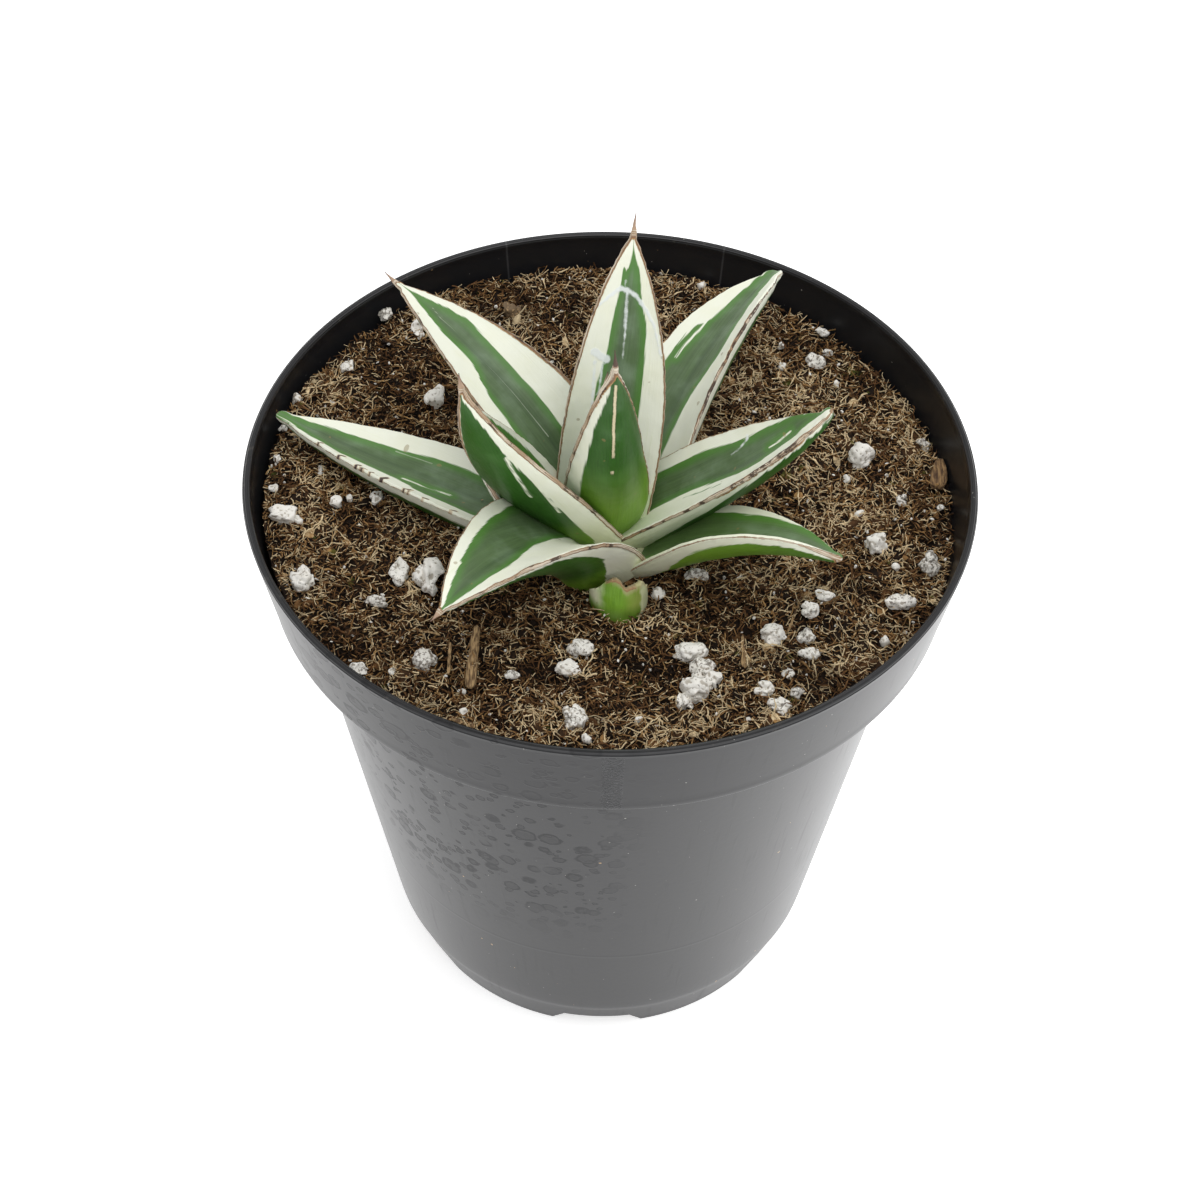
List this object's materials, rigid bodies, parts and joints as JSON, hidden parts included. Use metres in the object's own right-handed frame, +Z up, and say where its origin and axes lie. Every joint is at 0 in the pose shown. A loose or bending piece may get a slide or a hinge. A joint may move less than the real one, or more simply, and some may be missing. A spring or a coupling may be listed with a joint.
{
  "type": "potted agave",
  "caption": "Young rosette of thick cream-edged agave leaves with tip spines, rooted in peat soil with perlite, in a round black plastic nursery pot with a collar and a notched foot ring.",
  "frame": {"origin": "on the pot's axis, on the surface that the pot stands on", "axes": "+Z up along the pot's axis, -Y towards the front from which the picture looks down, +X to its right"},
  "size_m": [0.105, 0.105, 0.1315],
  "materials": {
    "pot": "semi-gloss moulded black",
    "soil": "loose fibrous peat",
    "leaf": "smooth waxy leaf with cream margins",
    "stem": "pale crown and roots"
  },
  "bodies": {
    "root": {"pot": "pot", "soil": "soil", "stem": "stem", "leaf_bud_inner": "leaf", "leaf_bud_outer": "leaf", "leaf_back": "leaf", "leaf_front_left_inner": "leaf", "leaf_right_upper": "leaf", "leaf_left_inner": "leaf", "leaf_back_left": "leaf", "leaf_back_right": "leaf", "leaf_front_left": "leaf", "leaf_right_lower": "leaf", "leaf_left": "leaf", "leaf_stump": "leaf"}
  },
  "joints": []
}
